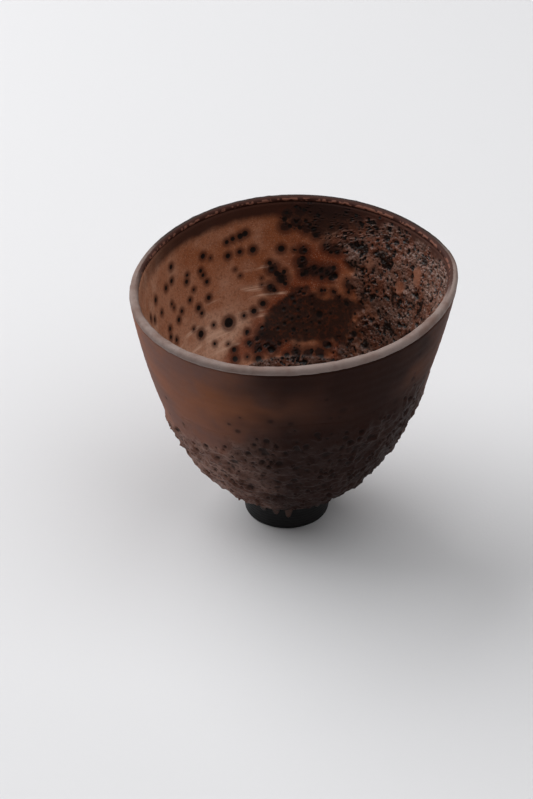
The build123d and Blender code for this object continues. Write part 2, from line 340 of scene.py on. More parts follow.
def paintInside():
    marks, random = insideMarks, np.random.default_rng(insideMarks["seed"])
    canvas = Canvas(insideCurve, 2304, 720)
    p, z, a = canvas.points, canvas.height, canvas.angle
    lumps, wisps = cloudy(p, 6.0, 3, 2), cloudy(p, 2.4, 21, 2)
    below = innerEdgeHeight(a) - z  # mm under the crust's edge
    leftEdge = np.interp(z, marks["boilHeights"], marks["boilAngles"])
    rightOf = (leftEdge - a) * marks["mmPerDegree"]  # mm to the right of the boiled glaze's left edge
    onBack = (a > 20) & (a < 140)
    besideBack = np.where((a > -75) & (a <= 20), 5.5, 0)
    reach = np.where(onBack, np.minimum(below + 5.5, rightOf), below + besideBack)
    crust = smooth((reach + 4 * lumps + 2.5 * wisps + 1) / 6)
    crust *= smooth((marks["boilTop"] - z + wisps) / 2)
    pool = marks["pool"]
    upper = np.minimum(pool["high"], pool["low"] + 1 + pool["slope"] * (pool["left"] - a)) - z
    poolReach = np.minimum(np.minimum(upper, z - pool["low"]), (a - pool["right"]) * 0.3)
    poolMask = smooth((poolReach + 1.8 * lumps + 1.6 * wisps + 1.2) / 3.6)
    deep = smooth((72 - z + 3 * lumps) / 12) * smooth((78 - a) / 8) * (a > 0)
    spot, halo, hole, relief, plain, murk = (canvas.blank() for _ in range(6))
    for share, angle, size in backWallPlaces(canvas, marks["smoothPatches"]):
        fleck(canvas, plain, plain, share, angle, size, 1.2)
    boiled = crust * (1 - 0.93 * poolMask)
    dense = boiled * (1 - 0.9 * plain)

    for kind, (grow, spread) in marks["kinds"].items():
        for share, angle, size in backWallPlaces(canvas, marks[kind]):
            core = murk if kind == "patches" else spot
            fleck(canvas, core, halo, share, angle, size * grow, spread)
            if kind in ("blobs", "edgeDots") or size > marks["burstFrom"]:
                for turn in range(3):
                    near = random.normal(0, size * 0.4, 2)
                    crater(canvas, relief, hole, share + near[0] / canvas.curve["length"],
                           angle + near[1] / marks["mmPerDegree"], random.uniform(0.35, 0.6), 0.35, 0.16)

    murk = np.maximum(murk, 0.8 * bell(a, 76, 20) * smooth((z - 80 + 2 * lumps) / 6))
    # Loose flecks on the rest of the smooth glaze, thicker towards the crust
    bare = (1 - crust) * smooth((marks["flecksTop"] - z) / 8) * smooth((a % 360 - 176) / 6)
    for share, angle in scatter(canvas, random, marks["fleckTries"], bare * smooth(1.3 + below / 60)):
        fleck(canvas, spot, halo, share, angle, random.choice([0.35, 0.5, 0.8, 1.0, 1.2, 1.5]), 1.5)

    worms = 0.5 - np.abs(cloudy(p, 3.2, 41)) * 2.2 - np.abs(cloudy(p, 1.6, 43)) * 0.7
    relief += dense * (0.45 * worms.clip(-0.8, 0.5) + 0.12 * cloudy(p, 1.3, 51, 2) + softLumps(a, z))
    hole += 0.75 * dense * smooth(-0.4 - worms)
    for share, angle, radius in pitPlaces("inner"):
        calm = 1 - 0.8 * float(canvas.read(poolMask, share, angle))
        crater(canvas, relief, hole, share, angle, radius * 0.8, 0.3 * radius * calm, 0.15 * calm)
    sizes = random.gamma(6.0, 0.09, 9000).clip(0.34, 1.25)
    for number, (share, angle) in enumerate(scatter(canvas, random, marks["craterTries"], dense)):
        size = sizes[number % len(sizes)]
        crater(canvas, relief, hole, share, angle, size, 0.15 + 0.4 * size, 0.22 * random.uniform(0.2, 1.3))
    for share, angle in scatter(canvas, random, marks["blisterTries"], poolMask * 0.8):
        crater(canvas, relief, hole, share, angle, random.uniform(0.5, 1.1), 0.1, 0.14)

    # Fine throwing lines, worn pale where the glaze is thin
    turns = z + 1.2 * np.cos(np.radians(a)) + 0.5 * cloudy(p, 30.0, 71)
    lines = np.abs(cloudy(np.stack([turns, turns * 0 + 3.1, turns * 0], -1), 0.9, 81, 2))
    stretched = p * np.array([0.12, 0.12, 1.0], np.float32)
    lines = smooth(1.2 - lines * 5) * smooth(cloudy(stretched, 1.6, 91, 2) * 2.2 - 0.35)
    worn = bell(a, 127, 22) * np.exp(-((z - 50) / 10) ** 2) + 0.35 * bell(a, 178, 26) + 0.3 * lumps.clip(0, 1)
    broken = smooth(cloudy(stretched * np.array([4, 4, 1], np.float32), 3.4, 97) * 2.2 + 0.75)
    streak = 0.45 * lines * (0.12 + 0.88 * worn)
    for height, first, last in marks["lines"]:
        across = np.exp(-((z - height) / 0.6) ** 2) * broken
        streak = np.maximum(streak, across * smooth((a - first) / 5 + 0.5) * smooth((last - a) / 5 + 0.5))
    streak *= (1 - crust) * (1 - poolMask)
    relief += 0.02 * cloudy(stretched, 1.2, 95, 2) * (1 - dense) - 0.05 * streak
    relief -= 0.12 * spot * (1 - dense)
    return canvas, {
        "spot": spot, "halo": halo, "hole": hole, "relief": relief, "crust": boiled * (1 - 0.35 * plain),
        "pool": poolMask, "murk": murk, "deep": deep, "streak": streak, "gloss": dense, "worn": worn + 0 * z,
        "banded": 1 - 0.9 * bell(a, 184, 22) + 0 * z, "net": netMask(canvas, crust)}


def netMask(canvas, crust):
    # where the glaze has broken to orange: round the black blobs and along the crust's edge
    p, z, a = canvas.points, canvas.height, canvas.angle
    near = bell(a, 80, 17) * np.exp(-((z - 71) / 12) ** 2)
    edge = np.exp(-((innerEdgeHeight(a) - z - 1) / 5.0) ** 2)
    low = np.exp(-((z - 42.5) / 4) ** 2) * (bell(a, 104, 11) + bell(a, 91, 4) + bell(a, 62, 5))
    return np.clip(near + 0.8 * edge + low + 0.25 * cloudy(p, 9.0, 61, 2), 0, 1).astype(np.float32)


insideCanvas, insideFields = paintInside()
print("inside relief and marks done")


# Outside relief
outsideMarks = {
    "seed": 29, "craterTries": 4500, "fleckTries": 700,
    "edge": 57.0, "rise": 13.0, "edgeAngle": -60.0, "wave": 1.5, "waves": 7,  # the crust's upper edge
    "pitch": 4.1,  # mm between the thrower's rings
}


def outerEdgeHeight(angle):
    m = outsideMarks
    return (m["edge"] + m["rise"] * np.cos(np.radians(angle - m["edgeAngle"]))
            + m["wave"] * np.sin(m["waves"] * np.radians(angle)))


def paintOutside():
    marks, random = outsideMarks, np.random.default_rng(outsideMarks["seed"])
    canvas = Canvas(outsideCurve, 2304, 720)
    p, z, a = canvas.points, canvas.height, canvas.angle
    lumps, wisps = cloudy(p, 9.0, 103, 2), cloudy(p, 3.2, 121, 2)
    below = outerEdgeHeight(a) - z
    crust = smooth((below + 5 * lumps + 3 * wisps) / 11)
    hole, relief, spot, halo = canvas.blank(), canvas.blank(), canvas.blank(), canvas.blank()
    worms = 0.5 - np.abs(cloudy(p, 4.4, 141)) * 2.4
    relief += crust * (0.42 * worms.clip(-0.8, 0.5) + 0.46 * cloudy(p, 2.4, 151, 2) + softLumps(a, z))
    hole += 0.35 * crust * smooth(-0.3 - worms)
    for share, angle, radius in pitPlaces("outer"):
        crater(canvas, relief, hole, share, angle, radius * 0.8, 0.3 * radius, 0.15)
    for share, angle in scatter(canvas, random, marks["craterTries"], crust * 0.8):
        size = np.clip(random.gamma(5.0, 0.17), 0.5, 1.7)
        crater(canvas, relief, hole, share, angle, size, 0.1 + 0.42 * size, 0.2 * random.uniform(0.2, 1.3))
    fading = smooth(1 + below / 20) * (1 - crust)
    for share, angle in scatter(canvas, random, marks["fleckTries"], fading * 0.5):
        fleck(canvas, spot, halo, share, angle, random.choice([0.5, 0.8, 1.2, 1.7]), 1.6)
    cloud = np.exp(-((z - 75 - 4 * lumps) / 6.5) ** 2)
    cloud = cloud * (bell(a, -108, 26) + 0.7 * bell(a, -34, 11) + 0.35 * bell(a, 90, 60))
    cloud = np.clip(cloud + 0.15 * lumps, 0, 1)
    turns = z + marks["pitch"] * a / 360
    relief += 0.03 * np.sin(turns * 2 * np.pi / marks["pitch"] + 2 * lumps) * (1 - crust) - 0.06 * spot
    # painted shade: darker at the front, which is turned away from the window light, and a little darker at
    # the back
    paintedShade = bell(a, -64, 58) * (0.88 + 0.12 * lumps) + 0.34 * bell(a, 70, 60) * smooth(lumps + 0.5)
    return canvas, {"spot": spot, "halo": halo, "hole": hole, "relief": relief, "crust": crust,
                    "cloud": cloud, "paintedShade": paintedShade}


outsideCanvas, outsideFields = paintOutside()
print("outside relief and marks done")


# Rings of points joined into a closed skin
def stitch(low, high):
    # faces between two rings of the same count, of half the count, or round a single point
    if len(low) > len(high):
        return [face[::-1] for face in stitch(high, low)]
    after, beyond = np.roll(low, -1), np.roll(high, -1)
    if len(low) == 1:
        return [(low[0], first, second) for first, second in zip(high, beyond)]
    if len(low) == len(high):
        return np.stack([low, high, beyond, after], 1).tolist()
    left, mid, right = high[0::2], high[1::2], np.roll(high[0::2], -1)
    faces = []
    for corners in ((low, left, mid), (low, mid, after), (after, mid, right)):
        faces += np.stack(corners, 1).tolist()
    return faces


def ringSkin(name, rings, masks, closed):
    # rings: arrays of points in mm; masks: three named values for each point
    starts = np.cumsum([0] + [len(ring) for ring in rings])
    rows = [np.arange(starts[i], starts[i + 1]) for i in range(len(rings))]
    faces = []
    for low, high in zip(rows, rows[1:]):
        faces += stitch(low, high)
    if closed:
        faces += stitch(rows[-1], rows[0])
    points = np.concatenate(rings) * mm
    fans = [(f[0], f[i], f[i + 1]) for f in faces for i in range(1, len(f) - 1)]
    a, b, c = (points[[fan[i] for fan in fans]] for i in range(3))
    if np.einsum("ij,ij->i", a, np.cross(b, c)).sum() < 0:  # turned inside out
        faces = [f[::-1] for f in faces]
    mesh = bpy.data.meshes.new(name)
    mesh.from_pydata(points.tolist(), [], faces)
    for maskName, columns in masks.items():
        values = np.ones((len(points), 4), np.float32)
        for channel, parts in enumerate(columns):
            values[:, channel] = np.concatenate(parts)
        mesh.attributes.new(maskName, "FLOAT_COLOR", "POINT").data.foreach_set("color", values.ravel())
    mesh.shade_smooth()
    piece = bpy.data.objects.new(name, mesh)
    bpy.context.scene.collection.objects.link(piece)
    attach(piece, "root")
    print(name, len(points), "points", len(fans), "triangles")
    return piece


def settle(piece, node, material):
    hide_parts(node)
    piece.data.materials.append(material)


# Finishes
def tone(red, green, blue):
    # a colour as a picture shows it
    parts = [c / 255 for c in (red, green, blue)]
    return tuple(c / 12.92 if c <= 0.04045 else ((c + 0.055) / 1.055) ** 2.4 for c in parts) + (1.0,)


class Wire:
    # a socket that can be used in sums
    def __init__(self, finish, socket):
        self.finish, self.socket = finish, socket

    def maths(self, operation, first, second):
        return self.finish.add("ShaderNodeMath", {"operation": operation}, {0: first, 1: second}, 0)

    def __add__(self, other): return self.maths("ADD", self, other)
    def __radd__(self, other): return self.maths("ADD", other, self)
    def __sub__(self, other): return self.maths("SUBTRACT", self, other)
    def __rsub__(self, other): return self.maths("SUBTRACT", other, self)
    def __mul__(self, other): return self.maths("MULTIPLY", self, other)
    def __rmul__(self, other): return self.maths("MULTIPLY", other, self)
    def inRange(self): return self.finish.add("ShaderNodeClamp", {}, {0: self}, 0)


class Finish:
    # a material under way
    def __init__(self, name):
        self.material = bpy.data.materials.new(name)
        self.material.use_nodes = True
        self.tree = self.material.node_tree
        self.shader = self.tree.nodes["Principled BSDF"]
        self.where = self.add("ShaderNodeTexCoord", {}, {}, "Object")

    def add(self, kind, settings, values, out):
        node = self.tree.nodes.new(kind)
        for key, setting in settings.items():
            setattr(node, key, setting)
        for key, value in values.items():
            self.feed(node.inputs[key], value)
        return Wire(self, node.outputs[out])

    def feed(self, socket, value):
        if isinstance(value, Wire):
            self.tree.links.new(value.socket, socket)
        else:
            socket.default_value = value

    def noise(self, size, detail=3.0, rough=0.55):
        # grain about this many mm wide
        values = {"Vector": self.where, "Scale": 1000 / size, "Detail": detail, "Roughness": rough}
        return self.add("ShaderNodeTexNoise", {}, values, "Fac")

    def turned(self, size):
        # level lines about this many mm apart, as a thrower's fingers leave them
        flat = self.add("ShaderNodeVectorMath", {"operation": "MULTIPLY"},
                        {0: self.where, 1: (40.0, 40.0, 1000 / size)}, 0)
        return self.add("ShaderNodeTexNoise", {}, {"Vector": flat, "Scale": 1.0, "Detail": 1.0}, "Fac")

    def cells(self, size):
        # distance from the middle of bubbles about this many mm apart
        return self.add("ShaderNodeTexVoronoi", {}, {"Vector": self.where, "Scale": 1000 / size}, "Distance")

    def steps(self, value, low, high):
        return self.add("ShaderNodeMapRange", {"interpolation_type": "SMOOTHSTEP"},
                        {"Value": value, "From Min": low, "From Max": high}, "Result")

    def mix(self, amount, first, second):
        return self.add("ShaderNodeMix", {"data_type": "RGBA"}, {0: amount, 6: first, 7: second}, 2)

    def mask(self, name):
        # the painted values of a piece, one wire for each channel
        painted = self.add("ShaderNodeAttribute", {"attribute_name": name}, {}, "Color")
        split = self.add("ShaderNodeSeparateColor", {}, {0: painted}, 0)
        return [Wire(self, socket) for socket in split.socket.node.outputs]

    def along(self, axis):
        # how far along one axis, in metres
        return self.add("ShaderNodeSeparateXYZ", {}, {0: self.where}, axis)

    def bump(self, height, depth, strength=1.0, under=None):
        values = {"Height": height, "Distance": depth * mm, "Strength": strength}
        if under is not None:
            values["Normal"] = under
        return self.add("ShaderNodeBump", {}, values, "Normal")

    def done(self, colour, rough, normal, **fixed):
        self.feed(self.shader.inputs["Base Color"], colour)
        self.feed(self.shader.inputs["Roughness"], rough)
        self.feed(self.shader.inputs["Normal"], normal)
        for name, value in fixed.items():
            self.shader.inputs[name.replace("_", " ")].default_value = value
        return self.material


insideLooks = {
    "tan": tone(170, 108, 76), "orange": tone(152, 84, 46), "pale": tone(222, 178, 152),
    "rust": tone(70, 29, 13), "spot": tone(19, 10, 7), "net": tone(130, 58, 24), "deep": tone(50, 29, 22),
    "pool": tone(36, 19, 14), "poolWarm": tone(78, 35, 18), "crust": tone(114, 86, 75),
    "crustDark": tone(70, 44, 36), "crustRed": tone(104, 62, 46), "pit": tone(12, 7, 6),
    "band": tone(48, 15, 4), "murk": tone(38, 16, 9),
    "bandFrom": 86.6, "bandTo": 90.2, "ragged": 2.2,  # mm, the dark band under the lip
}


def insideGlaze(name):
    # iron glaze of the inside, smooth on the left and boiled to a crust on the right
    f, c = Finish(name), insideLooks
    spot, halo, streak = f.mask("marks")
    crust, hole, pool = f.mask("crust")
    worn, gloss, net = f.mask("breaks")
    murk, deep, banded = f.mask("runs")
    broad, fine, grit = f.noise(14), f.noise(0.9, 4.0, 0.7), f.noise(0.42, 2.0)
    colour = f.mix(f.steps(broad, 0.35, 0.65) * 0.8, c["tan"], c["orange"])
    colour = f.mix((worn * (0.45 + 0.4 * f.steps(f.noise(3.0), 0.3, 0.6))).inRange(), colour, c["pale"])
    colour = f.mix(f.steps(net + 0.35 * broad, 0.45, 1.0) * 0.85, colour, c["net"])
    colour = f.mix(f.steps(grit, 0.52, 0.72) * (0.3 + 0.1 * net) * (1 - worn), colour, c["pale"])
    colour = f.mix(f.steps(fine, 0.55, 0.3) * 0.4, colour, c["rust"])
    colour = f.mix(streak * (0.3 + 0.7 * f.steps(f.turned(0.3), 0.42, 0.55)), colour, c["pale"])
    ragged = f.along("Z") + c["ragged"] * mm * (f.noise(5.0) - 0.5)
    topmost = f.steps(ragged, c["bandFrom"] * mm, c["bandTo"] * mm)
    colour = f.mix(topmost * 0.94 * banded, colour, c["band"])
    colour = f.mix((halo * (0.45 + 0.6 * fine)).inRange(), colour, c["rust"])
    colour = f.mix(f.steps(murk + 0.9 * (fine - 0.5), 0.15, 0.85) * 0.9, colour, c["murk"])
    colour = f.mix(f.steps(spot + 0.3 * (fine - 0.5), 0.3, 0.8), colour, c["spot"])
    poolColour = f.mix(f.steps(f.noise(1.6, 4.0, 0.7), 0.45, 0.7), c["pool"], c["poolWarm"])
    poolColour = f.mix(f.steps(f.cells(1.5), 0.36, 0.2) * 0.8, poolColour, c["pit"])
    colour = f.mix(pool * 0.96, colour, poolColour)
    crustColour = f.mix(f.steps(f.noise(6.0), 0.4, 0.62), c["crust"], c["crustRed"])
    crustColour = f.mix(f.steps(f.noise(1.3, 4.0, 0.7), 0.52, 0.72), crustColour, c["crustDark"])
    crustColour = f.mix(deep * 0.5, crustColour, c["deep"])
    colour = f.mix(crust * 0.95, colour, crustColour)
    colour = f.mix(f.steps(hole, 0.2, 0.85), colour, c["pit"])
    blistered = f.cells(0.95)
    colour = f.mix(f.steps(blistered, 0.3, 0.12) * gloss * 0.85, colour, c["pit"])
    normal = f.bump(f.noise(0.5, 3.0, 0.7), 0.05, 0.6)
    normal = f.bump(blistered * gloss, 0.35, 0.8, normal)
    rough = 0.62 + 0.25 * topmost * (1 - gloss) - 0.12 * pool - 0.12 * spot - 0.24 * gloss
    rough = (rough + 0.2 * (fine - 0.5)).inRange()
    return f.done(colour, rough, normal, Specular_IOR_Level=0.32)


outsideLooks = {
    "brown": tone(128, 83, 65), "mauve": tone(112, 80, 71), "cloud": tone(140, 86, 58),
    "crust": tone(134, 103, 92), "crustDark": tone(74, 52, 45), "crustRed": tone(106, 72, 60),
    # the last colour below is painted shade, for the front of the outside
    "pit": tone(30, 18, 15), "spot": tone(56, 36, 30), "shadeColour": tone(32, 10, 4),
}


def outsideGlaze(name):
    # brown glaze of the outside, smooth above and boiled below, with painted shade darkening the front
    f, c = Finish(name), outsideLooks
    spot, halo, cloud = f.mask("marks")
    crust, hole, paintedShade = f.mask("crust")
    fine = f.noise(1.0, 4.0, 0.7)
    colour = f.mix(f.steps(f.noise(16.0), 0.38, 0.62), c["brown"], c["mauve"])
    colour = f.mix(cloud * 0.85, colour, c["cloud"])
    colour = f.mix(f.steps(fine, 0.5, 0.75) * 0.35, colour, c["mauve"])
    colour = f.mix(halo * 0.35, colour, c["crustRed"])
    colour = f.mix(spot * 0.85, colour, c["spot"])
    crustColour = f.mix(f.steps(f.noise(8.0), 0.42, 0.62), c["crust"], c["crustRed"])
    crustColour = f.mix(f.steps(f.noise(1.5, 4.0, 0.7), 0.45, 0.68), crustColour, c["crustDark"])
    colour = f.mix(crust * 0.95, colour, crustColour)
    # painted shade over the front, less where the orange cloud is
    colour = f.mix(f.steps(paintedShade, 0.2, 0.72) * (0.97 - 0.3 * cloud), colour, c["shadeColour"])
    colour = f.mix(f.steps(hole, 0.2, 0.9) * 0.8, colour, c["pit"])
    normal = f.bump(f.noise(0.6, 3.0, 0.7), 0.05, 0.5)
    normal = f.bump(f.noise(1.4, 3.0, 0.6) * crust, 0.5, 0.6, normal)
    rough = (0.72 - 0.16 * crust + 0.2 * (fine - 0.5)).inRange()
    return f.done(colour, rough, normal, Specular_IOR_Level=0.1)


def bareClay(name):
    # stoneware burnt to a mauve grey where no glaze covers it
    f = Finish(name)
    body, warm, speck, back = tone(134, 118, 112), tone(116, 94, 86), tone(74, 58, 54), tone(32, 21, 18)
    glaze, bead = tone(58, 27, 18), tone(132, 86, 70)
    grain = f.noise(0.7, 4.0, 0.7)
    colour = f.mix(f.steps(f.noise(9.0), 0.4, 0.68), body, warm)
    away = f.steps(f.along("Y") + 20 * mm * (f.noise(12.0) - 0.5), 6 * mm, 30 * mm)  # darker at the back
    colour = f.mix(away * 0.92, colour, back)
    across, knob, glazed = f.mask("lip")
    inner = f.steps(across + 0.12 * (grain - 0.5), 0.5, 0.58)
    colour = f.mix(inner * glazed * 0.95, colour, glaze)
    colour = f.mix(f.steps(knob + 0.3 * (grain - 0.5), 0.25, 0.8) * 0.75, colour, bead)
    colour = f.mix(f.steps(grain, 0.6, 0.78) * 0.7, colour, speck)
    normal = f.bump(grain, 0.09, 0.7)
    return f.done(colour, 0.72 + 0.2 * (grain - 0.5), normal, Specular_IOR_Level=0.2)


def burntFoot(name):
    # iron-black foot, dry to the touch
    f = Finish(name)
    body, worn, dust = tone(12, 11, 11), tone(20, 19, 19), tone(40, 38, 37)
    grain = f.noise(0.45, 4.0, 0.75)
    colour = f.mix(f.steps(f.noise(5.0), 0.42, 0.65), body, worn)
    colour = f.mix(f.steps(grain, 0.62, 0.8) * 0.5, colour, dust)
    normal = f.bump(grain, 0.08, 0.7)
    return f.done(colour, 0.62 + 0.25 * (grain - 0.5), normal, Specular_IOR_Level=0.28)


def beadGlaze(name):
    # thin orange-brown glaze that ran down to the foot
    f = Finish(name)
    body, dark, pale = tone(66, 35, 19), tone(38, 20, 13), tone(96, 56, 33)
    grain = f.noise(0.8, 4.0, 0.7)
    colour = f.mix(f.steps(f.noise(3.0), 0.42, 0.62), body, dark)
    colour = f.mix(f.steps(grain, 0.58, 0.78) * 0.4, colour, pale)
    return f.done(colour, 0.42 + 0.2 * (grain - 0.5), f.bump(grain, 0.06, 0.6), Specular_IOR_Level=0.5)


# Inside coats
insideCoats = {"columns": 640, "glazeRows": 124, "crustColumns": 608, "crustRows": 186, "backDepth": 0.62,
               "thickness": 1.15, "overlap": 1.5}


# Painted values that each side's materials read, three to a mask
insideMasks = {"marks": ("spot", "halo", "streak"), "crust": ("crust", "hole", "pool"),
               "breaks": ("worn", "gloss", "net"), "runs": ("murk", "deep", "banded")}
# the outside's third crust value is painted shade, darkest at the front
outsideMasks = {"marks": ("spot", "halo", "cloud"), "crust": ("crust", "hole", "paintedShade")}


def evenly(depth):
    # the hidden side of a coat, at one depth in the wall
    return lambda share, angle: np.full(np.broadcast(share, angle).shape, depth)


def atShare(share):
    # a level edge
    return lambda angle: 0 * angle + share


def coat(name, canvas, fields, masks, low, high, rows, columns, frontLift, backLift, pole=None):
    # a closed skin between two edges that run round the wall; low and high give shares of the curve by
    # angle, and a pole, as front and back points, closes it in the middle
    def angles(count):
        return np.linspace(-180, 180, count, endpoint=False)

    def countAt(share):
        if pole is None:
            return columns
        radius = np.interp(share, canvas.curve["share"], canvas.curve["radius"])
        count, widest = columns, canvas.curve["radius"].max()
        while count % 2 == 0 and count > 24 and radius < 0.62 * widest * count / columns:
            count //= 2
        return count

    rings, values = [], {mask: [[] for _ in names] for mask, names in masks.items()}

    def ring(row, count, lift):
        angle = angles(count)
        share = low(angle) * (1 - row) + high(angle) * row
        rings.append(skin(canvas.curve, share, angle, lift(share, angle)))
        for mask, names in masks.items():
            for column, field in zip(values[mask], names):
                column.append(canvas.read(fields[field], share, angle))

    def closeAt(point):
        rings.append(np.array([point]))
        for mask, names in masks.items():
            for column, field in zip(values[mask], names):
                column.append(np.array([fields[field][0, 0]]))

    steps = np.linspace(0, 1, rows)
    counts = [countAt(np.mean(low(angles(36)) * (1 - s) + high(angles(36)) * s)) for s in steps]
    if pole is not None:
        closeAt(pole[0])
    for s, count in zip(steps, counts):
        ring(s, count, frontLift)
    count, back = counts[-1], []
    for s in np.linspace(1, 0, 22):
        want = max(20, counts[int(s * (rows - 1))] // 4)
        ring(s, count, backLift)
        if count // 2 >= want and count % 2 == 0:
            count //= 2
    if pole is None:
        while count < counts[0]:
            count *= 2
            ring(0, count, backLift)
    else:
        closeAt(pole[1])
    return ringSkin(name, rings, values, pole is None)


def makeInsideCoats():
    k, canvas, fields = insideCoats, insideCanvas, insideFields
    top = shareAt(insideCurve, form["innerLipLine"])

    def edge(angle):
        return shareAt(insideCurve, innerEdgeHeight(angle))

    def glazeLift(share, angle):
        relief = canvas.read(fields["relief"], share, angle)
        thin = smooth((top - share) * insideCurve["length"] / 0.9)  # rounds off at the lip
        return -np.maximum(relief, -0.25) * thin + 0.42 * (1 - thin)

    overlap = k["overlap"] / insideCurve["length"]
    glaze = coat("innerGlazeCoat", canvas, fields, insideMasks, lambda angle: edge(angle) - overlap,
                 atShare(top), k["glazeRows"], k["columns"], glazeLift, evenly(k["backDepth"]))
    settle(glaze, "inner_glaze", insideGlaze("smoothIronGlaze"))

    def crustLift(share, angle):
        relief = canvas.read(fields["relief"], share, angle)
        into = (edge(angle) - share) * insideCurve["length"]
        boiled = np.clip(canvas.read(fields["crust"], share, angle) + 0.45, 0, 1)
        body = k["thickness"] * smooth(into / 9.0) * boiled
        return -(np.maximum(relief + body, -0.3) * smooth(into / 1.2 + 0.25) + 0.02) + 0.06 * (into < 0.1)

    def floorPoint(lift):
        x, y = form["footX"], form["footY"]
        return (x, y, form["footHeight"] + form["floorThickness"] + lift)

    crust = coat("innerCrustCoat", canvas, fields, insideMasks, atShare(0), edge, k["crustRows"],
                 k["crustColumns"], crustLift, evenly(k["backDepth"]),
                 pole=(floorPoint(k["thickness"]), floorPoint(-k["backDepth"])))
    settle(crust, "inner_crust", insideGlaze("boiledIronCrust"))


makeInsideCoats()

# Outside coats
outsideCoats = {"glazeRows": 96, "glazeColumns": 512, "crustRows": 132, "crustColumns": 640,
                "backDepth": -0.62, "thickness": 0.85, "overlap": 1.5}


def makeOutsideCoats():
    k, canvas, fields = outsideCoats, outsideCanvas, outsideFields
    top, hem = shareAt(outsideCurve, form["lipLine"]), shareAt(outsideCurve, form["crustHem"])

    def edge(angle):
        return shareAt(outsideCurve, outerEdgeHeight(angle))

    def glazeLift(share, angle):
        relief = canvas.read(fields["relief"], share, angle)
        thin = smooth((top - share) * outsideCurve["length"] / 0.9)
        return np.clip(relief, -0.2, 0.3) * thin - 0.42 * (1 - thin)

    overlap = k["overlap"] / outsideCurve["length"]
    glaze = coat("outerGlazeCoat", canvas, fields, outsideMasks, lambda angle: edge(angle) - overlap,
                 atShare(top), k["glazeRows"], k["glazeColumns"], glazeLift, evenly(k["backDepth"]))
    settle(glaze, "outer_glaze", outsideGlaze("smoothOuterGlaze"))

    def crustLift(share, angle):
        relief = canvas.read(fields["relief"], share, angle)
        into = (edge(angle) - share) * outsideCurve["length"]
        out = (share - hem) * outsideCurve["length"]
        body = k["thickness"] * smooth(into / 10.0) * smooth(out / 2.0 + 0.2)
        ends = smooth(into / 1.2 + 0.25) * smooth(out / 1.0 + 0.3)
        return np.maximum(relief + body, -0.3) * ends + 0.02 - 0.06 * (into < 0.1)

    crust = coat("outerCrustCoat", canvas, fields, outsideMasks, atShare(hem), edge, k["crustRows"],
                 k["crustColumns"], crustLift, evenly(k["backDepth"]))
    settle(crust, "outer_crust", outsideGlaze("boiledOuterCrust"))


makeOutsideCoats()

# Thrown wall with its bare lip
thrownWall = {"columns": 768, "coatDepth": 0.5, "rows": 20, "lipRows": 11,
              "dip": 0.22, "beadsAt": 0.8, "beadSpread": 0.12}  # beads by share of the way over the lip


def makeThrownWall():
    k, f = thrownWall, form
    angle = np.linspace(-180, 180, k["columns"], endpoint=False)
    rings = [np.array([(f["footX"], f["footY"], f["footHeight"])])]
    for radius in (f["wellRadius"], f["footBore"], f["undersideRadius"] - k["coatDepth"]):
        rings.append(place(radius + 0 * angle, f["footHeight"] + 0 * angle, angle))
    for height in np.linspace(f["footHeight"] + 1, f["lipLine"], k["rows"]):
        rings.append(skin(outsideCurve, shareAt(outsideCurve, height) + 0 * angle, angle, -k["coatDepth"]))

    across = [0 * ring[:, 0] for ring in rings]
    knobs, covered = list(across), list(across)
    around = (angle + 100) % 360
    beaded = smooth((around - 84) / 16) * smooth((290 - around) / 20)  # the back lip's glazed part

    def lipPoint(share, radius, height):
        ring = place(radius + 0 * angle, height + 0 * angle, angle)
        wear = cloudy(ring, 2.2, 201, 2) * 0.5 + cloudy(ring, 14.0, 211) * 0.5
        row = np.exp(-((share - k["beadsAt"]) / k["beadSpread"]) ** 2)
        knob = smooth(cloudy(ring, 0.9, 221) * 2.4 + 0.5) * row * beaded
        # worn inward only, and less under the beads
        amount = k["dip"] * np.clip(0.5 + wear + 0.5 * beaded, 0, 1) * (1 - knob)
        middle = place(f["rimRadius"] - f["lipWall"] / 2 + 0 * angle, f["lipLine"] + 0 * angle, angle)
        towards = middle - ring
        rings.append(ring + towards / np.linalg.norm(towards, axis=1)[:, None] * amount[:, None])
        across.append(share + 0 * angle)
        knobs.append(knob)
        covered.append(beaded)

    def radiusAt(curve, height):
        return np.interp(height, curve["height"], curve["radius"])

    rounding, top = f["lipRounding"], f["height"]
    lipPoint(0.0, radiusAt(outsideCurve, f["lipLine"]), f["lipLine"])
    lipPoint(0.1, radiusAt(outsideCurve, f["lipLine"] + 0.6), f["lipLine"] + 0.6)
    for turn in np.linspace(0, 1, k["lipRows"]):
        sink, inward = rounding * (1 - np.sin(turn * np.pi / 2)), rounding * (1 - np.cos(turn * np.pi / 2))
        lipPoint(0.15 + 0.3 * turn, radiusAt(outsideCurve, top - rounding) - inward, top - sink)
    for turn in np.linspace(1, 0, k["lipRows"]):
        sink, outward = rounding * (1 - np.sin(turn * np.pi / 2)), rounding * (1 - np.cos(turn * np.pi / 2))
        lipPoint(0.85 - 0.3 * turn, radiusAt(insideCurve, top - rounding) + outward, top - sink)
    lipPoint(1.0, radiusAt(insideCurve, f["innerLipLine"]), f["innerLipLine"])
    for height in np.linspace(f["innerLipLine"], f["footHeight"] + f["floorThickness"] + 0.4, k["rows"]):
        rings.append(skin(insideCurve, shareAt(insideCurve, height) + 0 * angle, angle, k["coatDepth"]))
    floor = f["footHeight"] + f["floorThickness"] - k["coatDepth"]
    rings.append(place(f["wellRadius"] + 0 * angle, floor + 0 * angle, angle))
    rings.append(np.array([(f["footX"], f["footY"], floor)]))
    across += [1 + 0 * ring[:, 0] for ring in rings[len(across):]]
    hidden = [0 * ring[:, 0] for ring in rings[len(knobs):]]
    wall = ringSkin("thrownWall", rings, {"lip": (across, knobs + hidden, covered + hidden)}, False)
    settle(wall, "bowl_body", bareClay("bareStoneware"))


makeThrownWall()

# Foot ring, turned on the wheel
turnedFoot = {"columns": 256, "groove": 0.07, "pitch": 1.15, "rounding": 0.7, "wear": 0.05}


